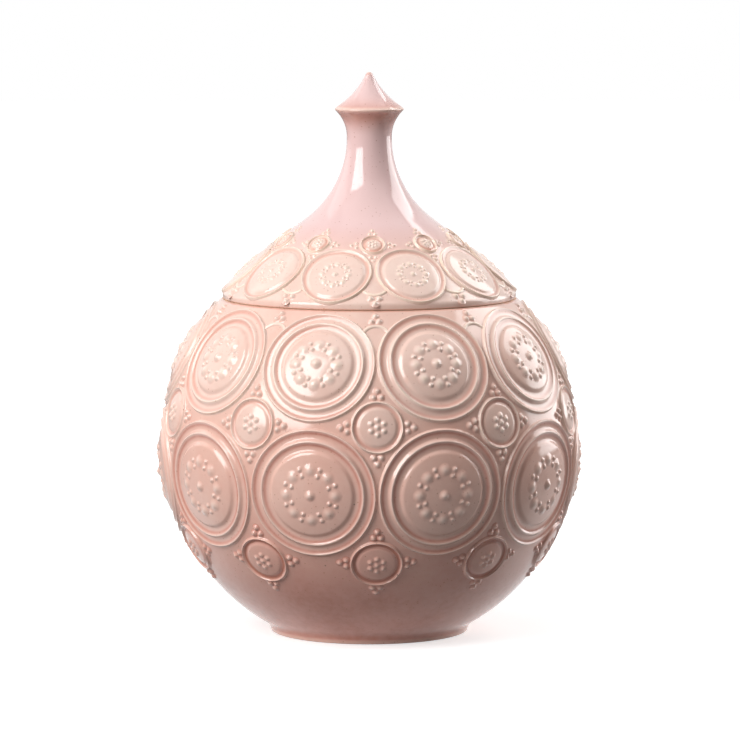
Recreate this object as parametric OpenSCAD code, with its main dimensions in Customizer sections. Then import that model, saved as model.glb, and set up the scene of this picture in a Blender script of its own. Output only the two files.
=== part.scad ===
// Lidded powder jar in glazed stoneware.
// A globe on a low foot ring, with a pointed ogee lid that lifts off.
// Ring-and-bead sprigs are pressed onto both in columns around the axis.
// Millimetres. +Z is up, the origin is the middle of the foot, and -Y is the front.

/* [Globe] */
// Diameter of the plain globe under its relief
globe_d = 148; // [140:1:160]
// Thickness of the globe's wall
globe_wall = 5; // [4:0.5:6]
// Thickness of the floor inside the globe
floor_t = 5; // [4:0.5:8]
// Diameter of the globe's shoulder where the mouth is cut
mouth_d = 105.6; // [100:0.2:110]
// Width of the flat rim that the lid sits on
mouth_land = 5.3; // [4.6:0.1:6]
// Chamfer on the outer edges that meet at the seam
seam_edge = 0.5; // [0.2:0.1:0.8]

/* [Foot] */
// Outer diameter of the foot ring
foot_d = 71.6; // [64:0.2:80]
// Height at which the globe meets the foot ring's outer wall
foot_h = 2.8; // [2.5:0.1:6]
// Width of the foot ring
foot_w = 4.5; // [4:0.5:7]
// How far the foot ring laps up the side of the globe
foot_lap = 1; // [0.6:0.1:1.4]
// Rounding of the foot ring's lower edges
foot_edge = 1.4; // [0.6:0.1:1.5]

/* [Lid] */
// How far the lid's edge stands in from the globe's shoulder
lid_inset = 0.6; // [0.2:0.1:1]
// Height of the lid's upright edge
lid_rim_h = 2.3; // [1.5:0.1:4]
// Radius of the faint bulge down the lid's skirt
skirt_r = 300; // [200:10:600]
// Radius of the hollow sweep from skirt to neck
ogee_r = 36; // [30:1:40]
// Diameter of the neck at its narrowest
neck_d = 16; // [14:0.5:20]
// Height of the narrowest point of the neck above the seam
neck_h = 57.4; // [54:0.2:64]
// Thickness of the lid's wall
lid_wall = 4.5; // [3.5:0.5:6]
// Height of the hollow inside the lid above the seam
lid_hollow_h = 37; // [25:1:40]
// Width of the locating flange under the lid
flange_w = 4; // [3:0.5:6]
// Depth of the locating flange below the seam
flange_h = 7; // [4:0.5:12]
// Clearance between the locating flange and the mouth
lid_play = 0.8; // [0.4:0.1:1.5]

/* [Finial] */
// Diameter of the finial's edge
finial_d = 24.5; // [22:0.5:30]
// Height of the finial's edge above the narrowest point of the neck
finial_h = 10; // [9:0.5:12]
// Rounding of the finial's edge
finial_edge = 0.9; // [0.7:0.1:1.6]
// How far the sweep up from the neck runs into the rounding of the finial's edge
flare_tuck = 0.2; // [0.1:0.05:0.4]
// Height of the point above the finial's edge
point_h = 13; // [11:0.5:16]
// Radius of the hollow sweep up to the point
point_r = 20; // [16:1:40]
// Rounding of the point
tip_r = 1.5; // [1:0.1:2]

/* [Relief] */
// Number of columns around the jar
columns = 10; // [8:1:12]
// Turn of the front column towards +X, in degrees
column_turn = 2.2; // [-18:0.1:18]
// Height of a raised crest
crest_h = 0.9; // [0.7:0.05:1.1]
// Width of a crest's flat top
crest_w = 0.5; // [0.3:0.05:0.6]
// Distance from a sprig's edge in to its outer crest
crest_in = 0.6; // [0.5:0.05:0.8]
// Distance over which a crest rises from the valley inside it
crest_rise = 0.9; // [0.8:0.05:1.1]
// Spacing of the two crests of a large roundel
crest_step = 3.8; // [3.4:0.1:4.2]
// Distance from the edge of a large domed disc to the crest about it
disc_step = 3.8; // [3.4:0.1:4.2]
// Height of a domed disc at its edge
disc_edge_h = 0.5; // [0.4:0.05:0.8]
// Height of a large domed disc at its middle
disc_top_h = 1.5; // [1.2:0.1:2]
// Height of the valleys between crests
valley_h = 0.3; // [0.2:0.05:0.4]
// Film of slip between a sprig and the ware
luting = 0.08; // [0.06:0.01:0.12]

/* [Roundels on the globe] */
// Gap between neighbouring roundels
roundel_gap = 0.8; // [0.4:0.1:2]
// Distance along the globe from the edge of the mouth to the upper row
shoulder_gap = 1.9; // [1:0.1:4]
// Distance along the globe between the upper and the lower row
row_gap = 2.4; // [2:0.1:6]
// Diameter of the upper row's circle of low beads
upper_bead_at = 14.6; // [13:0.2:17]
// Diameter of the lower row's circle of low beads
lower_bead_at = 17.4; // [15:0.2:20]

/* [Rosettes on the globe] */
// Diameter of a rosette in the middle row
middle_rosette_d = 18; // [15:0.2:18.6]
// How far a middle rosette stands below the level where the two rows come closest
middle_drop = 0.4; // [0:0.1:0.8]
// Diameter of a rosette in the lower row
lower_rosette_d = 18.2; // [15:0.2:19]
// Distance along the globe from the middles of the lower roundels to those of the lower rosettes
lower_rosette_drop = 26.1; // [25:0.1:28]
// Distance from the edge of a rosette's disc to its crest
rosette_step = 2.4; // [2:0.1:2.8]
// Height of a rosette's disc at its middle
rosette_top_h = 0.9; // [0.8:0.1:1.2]

/* [Arches] */
// Diameter of the broken rings that close the gaps between roundels
arch_d = 11.2; // [9:0.2:12]
// Width of a broken ring
arch_w = 1.3; // [1:0.1:1.8]
// Height of a broken ring
arch_h = 0.6; // [0.4:0.1:0.9]
// Distance along the globe from the edge of the mouth to the middles of the broken rings
arch_drop = 11.6; // [11.2:0.1:13]
// How far in from the lid's edge its broken rings are centred
lid_arch_in = 6.5; // [6.2:0.1:7.5]

/* [Roundels and rosettes on the lid] */
// Gap between neighbouring roundels on the lid
lid_roundel_gap = 1.4; // [1:0.1:3]
// Distance from the lid's edge in to the roundels on it
lid_roundel_edge = 0.1; // [0:0.1:1]
// Height of the valley inside the crest of a roundel on the lid
lid_valley_h = 0.55; // [0.5:0.05:0.7]
// Distance from the edge of a lid roundel's disc to its crest
lid_disc_step = 2.7; // [2.4:0.1:3.2]
// Diameter of the circle of beads in a lid roundel
lid_bead_at = 9.6; // [8:0.2:11]
// Diameter of a rosette on the lid
lid_rosette_d = 8.8; // [7.6:0.2:9]
// How far in from the lid's edge its rosettes are centred
lid_rosette_in = 20.4; // [19.5:0.1:22]
// Distance from the edge of a lid rosette's disc to its crest
lid_rosette_step = 1.3; // [1.2:0.1:1.5]

/* [Beads] */
// Number of low beads around a roundel
beads_around = 8; // [6:1:10]
// Diameter of the sphere that a low bead is the top of
low_bead_d = 5; // [4.2:0.1:5.4]
// Share of that sphere's radius that is sunk in the disc
low_bead_sink = 0.75; // [0.65:0.05:0.8]
// Diameter of the low beads' sphere on the lid
lid_low_bead_d = 3.2; // [2.4:0.1:3.4]
// Diameter of the small beads that stand in pairs between the low ones
pair_bead_d = 1.7; // [1.2:0.1:2]
// Spacing of the two small beads of a pair
pair_step = 2.4; // [2:0.1:2.8]
// How far the pairs stand in from the circle of low beads
pair_in = 0.4; // [0.2:0.1:0.7]
// Diameter of the bead in the middle of a roundel
middle_bead_d = 3.2; // [2.4:0.1:4]
// Diameter of the beads in a rosette's flower
flower_bead_d = 1.5; // [1:0.1:1.8]
// Diameter of the circle of beads in a rosette's flower
flower_at = 5; // [4:0.1:5.6]
// Diameter of the beads in a lid rosette's flower
lid_flower_bead_d = 1; // [0.7:0.1:1.2]
// Diameter of the circle of beads in a lid rosette's flower
lid_flower_at = 2.6; // [2.2:0.1:3]
// Diameter of the beads in the groups of three
triad_bead_d = 2.2; // [1.6:0.1:2.4]
// Spacing of the beads in a group of three
triad_step = 2.5; // [2.4:0.1:3]
// Diameter of the beads in the groups of three about the lid's rosettes
lid_triad_bead_d = 1.6; // [1.2:0.1:1.8]
// Spacing of the beads in the groups of three about the lid's rosettes
lid_triad_step = 1.9; // [1.8:0.1:2.2]
// Distance from a rosette's edge to the first beads of a group
triad_gap = 1.4; // [1.2:0.1:2]
// Distance from the lid's broken rings to the first beads of a group
rim_triad_gap = 1.15; // [1.1:0.05:1.4]
// Share of a round bead's radius that is sunk in the ware
bead_sink = 0.3; // [0:0.05:0.5]
// Depth to which the beads of a sprig are rooted in its disc
bead_root = 0.3; // [0.2:0.05:0.35]

/* [Hidden] */
glaze = "#dfb4a8";
thin_glaze = "#ecc9b4";
bare_clay = "#d8b79c";
$fn = 256;
ground_fn = 256;
fine_fn = 72;
bead_fn = 24;

globe_r = globe_d / 2;
globe_z = foot_h + sqrt(pow(globe_r, 2) - pow(foot_d / 2, 2));
seam_z = globe_z + sqrt(pow(globe_r, 2) - pow(mouth_d / 2, 2));
base_z = foot_h - foot_lap;
bore_r = mouth_d / 2 - mouth_land;

lid_r = mouth_d / 2 - lid_inset;
flange_r = bore_r - lid_play;
neck_z = seam_z + neck_h;
finial_z = neck_z + finial_h;
tip_z = finial_z + point_h;

// The lid's skirt is a faint convex arc from the rim up to where it meets the ogee
rim_p = [lid_r, seam_z + lid_rim_h];
ogee_c = [neck_d / 2 + ogee_r, neck_z];
skirt_c = meet(rim_p, ogee_c, skirt_r, skirt_r + ogee_r);
skirt_top = ogee_c + (skirt_c - ogee_c) * ogee_r / (ogee_r + skirt_r);
skirt_steps = 6;
// How far past the rim the sprigs on the lid are trimmed
trim_past = 2.6;

// The finial flares from the neck in a hollow arc that runs into the rounding of its edge
flare_out = (finial_d - neck_d) / 2;
flare_r = (pow(flare_out, 2) + pow(finial_h, 2)) / (2 * flare_out) - finial_edge + flare_tuck;
flare_end = finial_d / 2 - finial_edge / 2;

// The finial's point is a hollow arc from its edge up to the tip
point_foot = [finial_d / 2 - finial_edge, finial_z + finial_edge];
point_top = [tip_r, tip_z - tip_r];
point_c = meet(point_foot, point_top, -point_r, -point_r);

column_step = 360 / columns;
half_step = [cos(column_step / 2), sin(column_step / 2)];
front = -90;
// Turn of a sprig's side that faces up the slope
upslope = 180;
settle_steps = 10;
mouth_lat = acos(mouth_d / globe_d);
upper_lat = row_lat(mouth_lat, shoulder_gap, mouth_lat, settle_steps);
upper_reach = roundel_reach(upper_lat);
upper_end = upper_lat - arc_deg(globe_r, upper_reach);
lower_lat = row_lat(upper_end, row_gap, upper_end, settle_steps);
lower_reach = roundel_reach(lower_lat);
// The rosettes of the middle row sit just below the level where the two rows come closest
rows_meet_lat = (upper_lat * lower_reach + lower_lat * upper_reach) / (upper_reach + lower_reach);
middle_lat = rows_meet_lat - arc_deg(globe_r, middle_drop);
lower_rosette_lat = lower_lat - arc_deg(globe_r, lower_rosette_drop);
arch_lat = mouth_lat - arc_deg(globe_r, arch_drop);

// The lid's roundels reach from its edge inwards and fill their columns
edge_slope = cos(skirt_tilt(lid_r));
lid_roundel_at =
    (lid_r - lid_roundel_edge + edge_slope * lid_roundel_gap / 2) / (1 + edge_slope * half_step[1]);
lid_roundel_reach = lid_roundel_at * half_step[1] - lid_roundel_gap / 2;
lid_rosette_at = lid_r - lid_rosette_in;
lid_arch_at = lid_r - lid_arch_in;

// Crossing of circles of radius a about p and b about q; negative radii take the other crossing
function meet(p, q, a, b) =
    let (d = norm(q - p), u = (q - p) / d)
    let (x = (d * d + a * a - b * b) / (2 * d))
    p + x * u + sign(a) * sqrt(a * a - x * x) * [-u[1], u[0]];

// Angle under an arc of length s on a ground of radius r
function arc_deg(r, s) = s / r * 180 / PI;

// Half the spacing of the columns along the globe at a latitude
function belt_reach(lat) = globe_r * asin(cos(lat) * sin(column_step / 2)) * PI / 180;

// Size of a roundel that fills its column at a latitude
function roundel_reach(lat) = belt_reach(lat) - roundel_gap / 2;

// Latitude of a row of roundels that starts a gap below a latitude, closed in on from a first guess
function row_lat(top, gap, lat, steps) =
    steps == 0 ? lat
    : row_lat(top, gap, top - arc_deg(globe_r, gap + roundel_reach(lat)), steps - 1);

// Angle, height and tilt of the lid's skirt at a distance from the axis
function skirt_angle(r) = acos((r - skirt_c[0]) / skirt_r);
function skirt_z(r) = skirt_c[1] + skirt_r * sin(skirt_angle(r));
function skirt_tilt(r) = 90 - skirt_angle(r);

// Ground radius that follows the skirt best, from its curves along and across
function skirt_ground(r) = 2 / (1 / skirt_r + sin(skirt_tilt(r)) / r);

// Outline of the skirt from a distance past the rim up to the ogee, moved out by grow
function skirt_line(grow, past) =
    let (a = skirt_angle(rim_p[0]) - arc_deg(skirt_r, past), b = skirt_angle(skirt_top[0]))
    [for (i = [0 : skirt_steps])
        let (t = a + (b - a) * i / skirt_steps)
        skirt_c + (skirt_r + grow) * [cos(t), sin(t)]];

// Repeats a shape in every column; at is 0 for a rosette column and 0.5 for a roundel column
module in_columns(at) {
    for (i = [0 : columns - 1])
        rotate([0, 0, front + column_turn + (i + at) * column_step])
            children();
}

// Turns a sprig made about +Z, with its ground's centre at the origin, to a latitude of the globe
module on_globe(lat) {
    translate([0, 0, globe_z])
        rotate([0, 90 - lat, 0])
            children();
}

// Sets a sprig on the skirt of the lid, its ground's centre under the surface
module on_lid(r) {
    translate([r, 0, skirt_z(r)])
        rotate([0, skirt_tilt(r), 0])
            translate([0, 0, -skirt_ground(r)])
                children();
}

// Half section of everything within an arc of the sprig's middle
module within(r, reach) {
    a = arc_deg(r, reach);
    polygon([[0, 0], [2 * r * tan(a), 2 * r], [0, 2 * r]]);
}

// Point of a half section at an arc length from the sprig's middle and a height over its ground
function section_point(r, s, h) = (r + h) * [sin(arc_deg(r, s)), cos(arc_deg(r, s))];

// Half section of the slopes that fall outwards from the disc, each up to a steep rise to a crest
module terraces(r, under, disc, crests, reach, valley) {
    start = (valley + disc_edge_h) / 2;
    difference() {
        polygon(concat(
            [[0, 0], section_point(r, disc - crest_w, start)],
            [for (c = crests) each [
                section_point(r, c - crest_rise, valley),
                section_point(r, c - crest_w / 2, crest_h),
                section_point(r, c + crest_w / 2, crest_h)
            ]],
            [section_point(r, reach, under)]
        ));
        circle(r + under, $fn = ground_fn);
    }
}

// Half section of a round-topped ring
module ridge(r, under, mid, w, h) {
    rho = (w * w / 4 + h * h) / (2 * h);
    a = arc_deg(r, mid);
    difference() {
        translate((r + h - rho) * [sin(a), cos(a)])
            circle(rho, $fn = fine_fn);
        circle(r + under, $fn = ground_fn);
    }
}

function dome_rise(r, reach, top) =
    r + top - (r + disc_edge_h) * cos(arc_deg(r, reach));

function dome_radius(r, reach, top) =
    let (x = (r + disc_edge_h) * sin(arc_deg(r, reach)), y = dome_rise(r, reach, top))
    (x * x + y * y) / (2 * y);

// Height of a domed disc above its ground's centre at a distance from its middle
function dome_z(r, reach, top, s) =
    let (rho = dome_radius(r, reach, top))
    r + top - rho + sqrt(rho * rho - s * s);

// Half section of a domed disc
module dome(r, under, reach, top) {
    rho = dome_radius(r, reach, top);
    difference() {
        intersection() {
            translate([0, r + top - rho]) circle(rho, $fn = ground_fn);
            within(r, reach);
        }
        circle(r + under, $fn = ground_fn);
    }
}

// One bead at a distance from the axis, its middle sunk below the given height and its underside flat
module bead(d, sink, turn, s, z) {
    rotate([0, 0, turn])
        translate([s, 0, z])
            rotate_extrude($fn = bead_fn)
                intersection() {
                    translate([0, -sink * d / 2]) circle(d / 2, $fn = fine_fn);
                    translate([0, -bead_root]) square([d, d]);
                }
}

// Low beads in a circle about a round middle bead
module bead_wheel(r, reach, top, at, d) {
    bead(middle_bead_d, bead_sink, 0, 0, dome_z(r, reach, top, 0));
    for (i = [0 : beads_around - 1])
        bead(d, low_bead_sink, i * 360 / beads_around, at / 2, dome_z(r, reach, top, at / 2));
}

// Radial pairs of small beads that stand between the low ones of a wheel
module bead_pairs(r, reach, top, at) {
    mid = at / 2 - pair_in;
    for (i = [0 : beads_around - 1])
        for (s = [mid - pair_step / 2, mid + pair_step / 2])
            bead(pair_bead_d, bead_sink, (i + 0.5) * 360 / beads_around, s, dome_z(r, reach, top, s));
}

// Large roundel: two crests about a domed disc with its wheel of beads
module double_roundel(r, under, reach, at) {
    outer = reach - crest_in;
    inner = outer - crest_step;
    disc = inner - disc_step;
    rotate_extrude($fn = fine_fn) {
        terraces(r, under, disc, [inner, outer], reach, valley_h);
        dome(r, under, disc, disc_top_h);
    }
    bead_wheel(r, disc, disc_top_h, at, low_bead_d);
    bead_pairs(r, disc, disc_top_h, at);
}

// Lid roundel: one crest about a domed disc with its wheel of beads
module single_roundel(r, under, reach, at) {
    outer = reach - crest_in;
    disc = outer - lid_disc_step;
    rotate_extrude($fn = fine_fn) {
        terraces(r, under, disc, [outer], reach, lid_valley_h);
        dome(r, under, disc, disc_top_h);
    }
    bead_wheel(r, disc, disc_top_h, at, lid_low_bead_d);
}

// Rosette: one crest about a low disc with a flower of seven beads
module rosette(r, under, reach, step, d, at) {
    outer = reach - crest_in;
    disc = outer - step;
    petals = 6;
    rotate_extrude($fn = fine_fn) {
        terraces(r, under, disc, [outer], reach, valley_h);
        dome(r, under, disc, rosette_top_h);
    }
    bead(d, bead_sink, 0, 0, dome_z(r, disc, rosette_top_h, 0));
    for (i = [0 : petals - 1])
        bead(d, bead_sink, i * 360 / petals, at / 2, dome_z(r, disc, rosette_top_h, at / 2));
}

// Half the angle of a broken ring about p, from dir round to the roundel about q
function arch_half(p, q, dir, reach) =
    let (v = q - p, d = norm(v), a = arch_d / 2)
    acos(v * dir / d) - acos((a * a + d * d - reach * reach) / (2 * a * d));

// The stretch of a broken ring that shows between two roundels, about the direction turn
module arch(r, under, half, turn) {
    rotate([0, 0, turn - half])
        rotate_extrude(angle = 2 * half, $fn = fine_fn)
            ridge(r, under, arch_d / 2 - arch_w / 2, arch_w, arch_h);
}

// One bead that stands by itself on the ware, with its middle at the origin
module bead_cap(d) {
    rotate_extrude($fn = fine_fn)
        intersection() {
            translate([0, -bead_sink * d / 2]) circle(d / 2);
            translate([0, luting]) square([d, d]);
        }
}

// Three points in a triangle that points away from a sprig, turned about its middle
function triad_points(near, step, turn) =
    let (far = near + step * sin(60))
    [for (p = [[near, -step / 2], [near, step / 2], [far, 0]])
        [p[0] * cos(turn) - p[1] * sin(turn), p[0] * sin(turn) + p[1] * cos(turn)]];

// Group of three beads beside a sprig on the globe
module globe_triad(lat, reach, turn) {
    for (p = triad_points(reach + triad_gap, triad_step, turn))
        on_globe(lat)
            rotate([0, 0, atan2(p[1], p[0])])
                rotate([0, arc_deg(globe_r, norm(p)), 0])
                    translate([0, 0, globe_r])
                        bead_cap(triad_bead_d);
}

// Group of three beads beside a sprig on the skirt of the lid
module lid_triad(at, near, step, turn, d) {
    for (p = triad_points(near, step, turn)) {
        r = at + p[0] * cos(skirt_tilt(at));
        rotate([0, 0, arc_deg(r, p[1])])
            translate([r, 0, skirt_z(r)])
                rotate([0, skirt_tilt(r), 0])
                    bead_cap(d);
    }
}

// Full section of the globe's outside, moved out by grow
module globe_outline(grow) {
    intersection() {
        translate([0, globe_z]) circle(globe_r + grow);
        translate([0, base_z - grow]) square([globe_d, seam_z - base_z + grow]);
    }
}

// Solid under the skirt of the lid, which trims the sprigs that sit on it
module skirt_core() {
    line = skirt_line(luting, trim_past);
    rotate_extrude()
        polygon(concat([[0, line[0][1]]], line, [[0, skirt_top[1]]]));
}

module globe() {
    color(glaze)
        rotate_extrude()
            difference() {
                globe_outline(0);
                intersection() {
                    translate([0, globe_z]) circle(globe_r - globe_wall);
                    translate([0, base_z + floor_t]) square([globe_d, globe_d]);
                }
                translate([0, globe_z]) square([bore_r, globe_d]);
                polygon([
                    [mouth_d / 2 - 2 * seam_edge, seam_z],
                    [mouth_d / 2 + globe_wall, seam_z - seam_edge - globe_wall / 2],
                    [mouth_d / 2 + globe_wall, seam_z]
                ]);
            }
}

module foot_ring() {
    foot_in = foot_d / 2 - foot_w;
    color(glaze)
        rotate_extrude()
            difference() {
                union() {
                    for (x = [foot_in + foot_edge, foot_d / 2 - foot_edge])
                        translate([x, foot_edge]) circle(foot_edge);
                    translate([foot_in + foot_edge, 0])
                        square([foot_w - 2 * foot_edge, foot_h]);
                    translate([foot_in, foot_edge])
                        square([foot_w, foot_h]);
                }
                globe_outline(luting);
            }
}

module upper_roundels() {
    color(glaze)
        in_columns(0.5)
            on_globe(upper_lat)
                double_roundel(globe_r, luting, upper_reach, upper_bead_at);
}

module lower_roundels() {
    color(glaze)
        in_columns(0.5)
            on_globe(lower_lat)
                double_roundel(globe_r, luting, lower_reach, lower_bead_at);
}

module middle_rosettes() {
    color(thin_glaze)
        in_columns(0)
            on_globe(middle_lat)
                rosette(
                    globe_r, luting, middle_rosette_d / 2, rosette_step,
                    flower_bead_d, flower_at
                );
}

module lower_rosettes() {
    color(thin_glaze)
        in_columns(0)
            on_globe(lower_rosette_lat)
                rosette(
                    globe_r, luting, lower_rosette_d / 2, rosette_step,
                    flower_bead_d, flower_at
                );
}

module shoulder_arches() {
    p = globe_r * [cos(arch_lat), 0, sin(arch_lat)];
    q = globe_r * concat(cos(upper_lat) * half_step, sin(upper_lat));
    up = [-sin(arch_lat), 0, cos(arch_lat)];
    color(thin_glaze)
        in_columns(0)
            on_globe(arch_lat)
                arch(globe_r, luting, arch_half(p, q, up, upper_reach), upslope);
}

module jar_bead_triads() {
    color(thin_glaze)
        in_columns(0) {
            globe_triad(arch_lat, arch_d / 2, upslope);
            for (turn = [0 : 90 : 270]) {
                globe_triad(middle_lat, middle_rosette_d / 2, turn);
                globe_triad(lower_rosette_lat, lower_rosette_d / 2, turn);
            }
        }
}

module lid_dome() {
    color(glaze)
        rotate_extrude()
            difference() {
                polygon(concat(
                    [[0, seam_z], [lid_r - seam_edge, seam_z], [lid_r, seam_z + seam_edge]],
                    skirt_line(0, 0),
                    [[skirt_top[0], neck_z], [0, neck_z]]
                ));
                translate(ogee_c) circle(ogee_r);
                difference() {
                    intersection() {
                        translate(skirt_c) circle(skirt_r - lid_wall);
                        translate([0, seam_z]) circle(lid_hollow_h + lid_wall);
                        translate([0, seam_z - flange_h])
                            square([flange_r - flange_w, flange_h + lid_hollow_h]);
                    }
                    translate(ogee_c) circle(ogee_r + lid_wall);
                }
            }
}

module lid_flange() {
    color(bare_clay)
        rotate_extrude()
            translate([flange_r - flange_w, seam_z - flange_h])
                square([flange_w, flange_h]);
}

module lid_finial() {
    color(glaze)
        rotate_extrude()
            intersection() {
                union() {
                    difference() {
                        polygon([
                            [0, neck_z],
                            [flare_end, neck_z],
                            [flare_end, finial_z],
                            point_foot, point_top,
                            [0, tip_z - tip_r]
                        ]);
                        translate([neck_d / 2 + flare_r, neck_z]) circle(flare_r);
                        translate(point_c) circle(point_r);
                    }
                    translate([finial_d / 2 - finial_edge, finial_z]) circle(finial_edge);
                    translate([0, tip_z - tip_r]) circle(tip_r);
                }
                translate([0, neck_z]) square([finial_d, tip_z]);
            }
}

module lid_roundels() {
    ground = skirt_ground(lid_roundel_at);
    color(glaze)
        in_columns(0.5)
            difference() {
                on_lid(lid_roundel_at)
                    rotate([0, 0, upslope])
                        single_roundel(ground, -crest_h, lid_roundel_reach, lid_bead_at);
                skirt_core();
            }
}

module lid_rosettes() {
    ground = skirt_ground(lid_rosette_at);
    color(thin_glaze)
        in_columns(0)
            difference() {
                on_lid(lid_rosette_at)
                    rosette(
                        ground, -crest_h, lid_rosette_d / 2, lid_rosette_step,
                        lid_flower_bead_d, lid_flower_at
                    );
                skirt_core();
            }
}

module lid_arches() {
    ground = skirt_ground(lid_arch_at);
    tilt = skirt_tilt(lid_arch_at);
    p = [lid_arch_at, 0, skirt_z(lid_arch_at)];
    q = concat(lid_roundel_at * half_step, skirt_z(lid_roundel_at));
    down = [cos(tilt), 0, -sin(tilt)];
    color(thin_glaze)
        in_columns(0)
            difference() {
                on_lid(lid_arch_at)
                    arch(ground, -crest_h, arch_half(p, q, down, lid_roundel_reach), 0);
                skirt_core();
            }
}

module lid_bead_triads() {
    color(thin_glaze)
        in_columns(0) {
            lid_triad(lid_arch_at, arch_d / 2 + rim_triad_gap, triad_step, 0, triad_bead_d);
            for (turn = [0 : 90 : 270])
                lid_triad(
                    lid_rosette_at, lid_rosette_d / 2 + triad_gap,
                    lid_triad_step, turn, lid_triad_bead_d
                );
        }
}

globe();
foot_ring();
upper_roundels();
lower_roundels();
middle_rosettes();
lower_rosettes();
shoulder_arches();
jar_bead_triads();
lid_dome();
lid_flange();
lid_finial();
lid_roundels();
lid_rosettes();
lid_arches();
lid_bead_triads();
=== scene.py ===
"""Looks of a lidded powder jar: pink speckled glaze over ring-and-bead relief, dressed around its frame."""

import math

import bpy
import numpy as np
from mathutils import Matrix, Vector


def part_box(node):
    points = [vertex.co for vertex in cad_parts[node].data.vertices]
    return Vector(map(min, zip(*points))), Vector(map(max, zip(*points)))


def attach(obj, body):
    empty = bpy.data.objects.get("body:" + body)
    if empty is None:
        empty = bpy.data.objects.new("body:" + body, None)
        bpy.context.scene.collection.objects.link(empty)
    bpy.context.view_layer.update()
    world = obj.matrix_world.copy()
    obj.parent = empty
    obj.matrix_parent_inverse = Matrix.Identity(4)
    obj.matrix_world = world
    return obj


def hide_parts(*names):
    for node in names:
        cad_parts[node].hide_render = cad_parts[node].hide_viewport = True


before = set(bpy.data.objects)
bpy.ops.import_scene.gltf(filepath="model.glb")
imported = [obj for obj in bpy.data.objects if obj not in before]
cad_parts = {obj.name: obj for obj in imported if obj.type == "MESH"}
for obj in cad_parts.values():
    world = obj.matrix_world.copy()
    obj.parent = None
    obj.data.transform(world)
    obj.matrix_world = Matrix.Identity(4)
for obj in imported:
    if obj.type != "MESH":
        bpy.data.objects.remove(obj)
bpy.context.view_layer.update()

MM = 0.001
TINY = 1e-6
SAME_PLACE = 1e-4


# Sizes of the ware, in millimetres, read from the frame

def reach_of(node):
    """Half the width of a node that stands about the axis."""
    low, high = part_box(node)
    return (high.x - low.x) / 2 / MM


def low_of(node):
    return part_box(node)[0].z / MM


def high_of(node):
    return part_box(node)[1].z / MM


GLOBE_R = reach_of("globe")
BASE_Z = low_of("globe")
SEAM_Z = high_of("globe")
FOOT_R = reach_of("foot_ring")
LID_R = reach_of("lid_dome")
NECK_Z = low_of("lid_finial")
TIP_Z = high_of("lid_finial")
FINIAL_R = reach_of("lid_finial")
FLANGE_R = reach_of("lid_flange")
FLANGE_Z = low_of("lid_flange")

# Sizes of the ware that no box of the frame holds, in millimetres, and the lean of the tip in degrees

GLOBE_WALL = 5
FLOOR_T = 5
LID_INSET = 0.6
LID_PLAY = 0.8
LID_SEAT = 0.04
FOOT_LAP = 1
FOOT_W = 4.5
LID_RIM_H = 2.3
LID_WALL = 4.5
LID_HOLLOW_H = 37
FLANGE_W = 4
SKIRT_R = 300
OGEE_R = 36
NECK_R = 8
FINIAL_EDGE = 1.0
FINIAL_H = 10
POINT_R = 27
TIP_R = 1.4
TIP_LEAN = 22

MOUTH_R = LID_R + LID_INSET
BORE_R = FLANGE_R + LID_PLAY
GLOBE_Z = SEAM_Z - math.sqrt(GLOBE_R ** 2 - MOUTH_R ** 2)
FOOT_H = BASE_Z + FOOT_LAP
FINIAL_Z = NECK_Z + FINIAL_H
FLARE_OUT = FINIAL_R - NECK_R
FLARE_R = (FLARE_OUT ** 2 + FINIAL_H ** 2) / (2 * FLARE_OUT) - FINIAL_EDGE

# Rounding of the corners under the glaze, as a reach to either side in millimetres

FLOOR_EASE = 6
BORE_FOOT_EASE = 1.5
BORE_TOP_EASE = 1
MOUTH_EASE = 0.9
FOOT_TOP_EASE = 2.3
FOOT_EDGE_EASE = 2
FOOT_INSIDE_EASE = 1.2
FOOT_RECESS_EASE = 0.5
TIP_EASE = 0.5
FINIAL_LIP_EASE = 1.3
LID_EDGE_EASE = 0.9
HOLLOW_FOOT_EASE = 2
HOLLOW_TOP_EASE = 6
FLANGE_EASE = 1.2

# Layout of the relief, as on the solids: arc lengths in millimetres, angles in degrees, shares of a column

COLUMNS = 10
COLUMN_STEP = 360 / COLUMNS
FRONT = -90
ROSETTES_ASIDE = 2.2
FRONT_COLUMN = FRONT + ROSETTES_ASIDE
ON_COLUMN = 0
BETWEEN_COLUMNS = 0.5
DOWNHILL = 0
UPHILL = 180
ROUNDEL_GAP = 0.8
SHOULDER_GAP = 1.9
ROW_GAP = 2.4
MIDDLE_DROP = 0.4
LOWER_ROSETTE_DROP = 26.1
ARCH_DROP = 11.6
LID_ROUNDEL_GAP = 1.4
LID_ROUNDEL_EDGE = 0.1
LID_ROSETTE_IN = 20.4
LID_ARCH_IN = 6.5
SETTLE_STEPS = 10


def degrees_along(length):
    """Latitude that an arc of the globe takes up."""
    return math.degrees(length / GLOBE_R)


def roundel_reach(lat):
    """Radius of a roundel that fills its column at a latitude."""
    half = math.asin(math.cos(math.radians(lat)) * math.sin(math.radians(COLUMN_STEP / 2)))
    return GLOBE_R * half - ROUNDEL_GAP / 2


def row_lat(top, gap):
    """Latitude of a row of roundels whose upper edges lie a gap below a latitude."""
    lat = top
    for _ in range(SETTLE_STEPS):
        lat = top - degrees_along(gap + roundel_reach(lat))
    return lat


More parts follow.
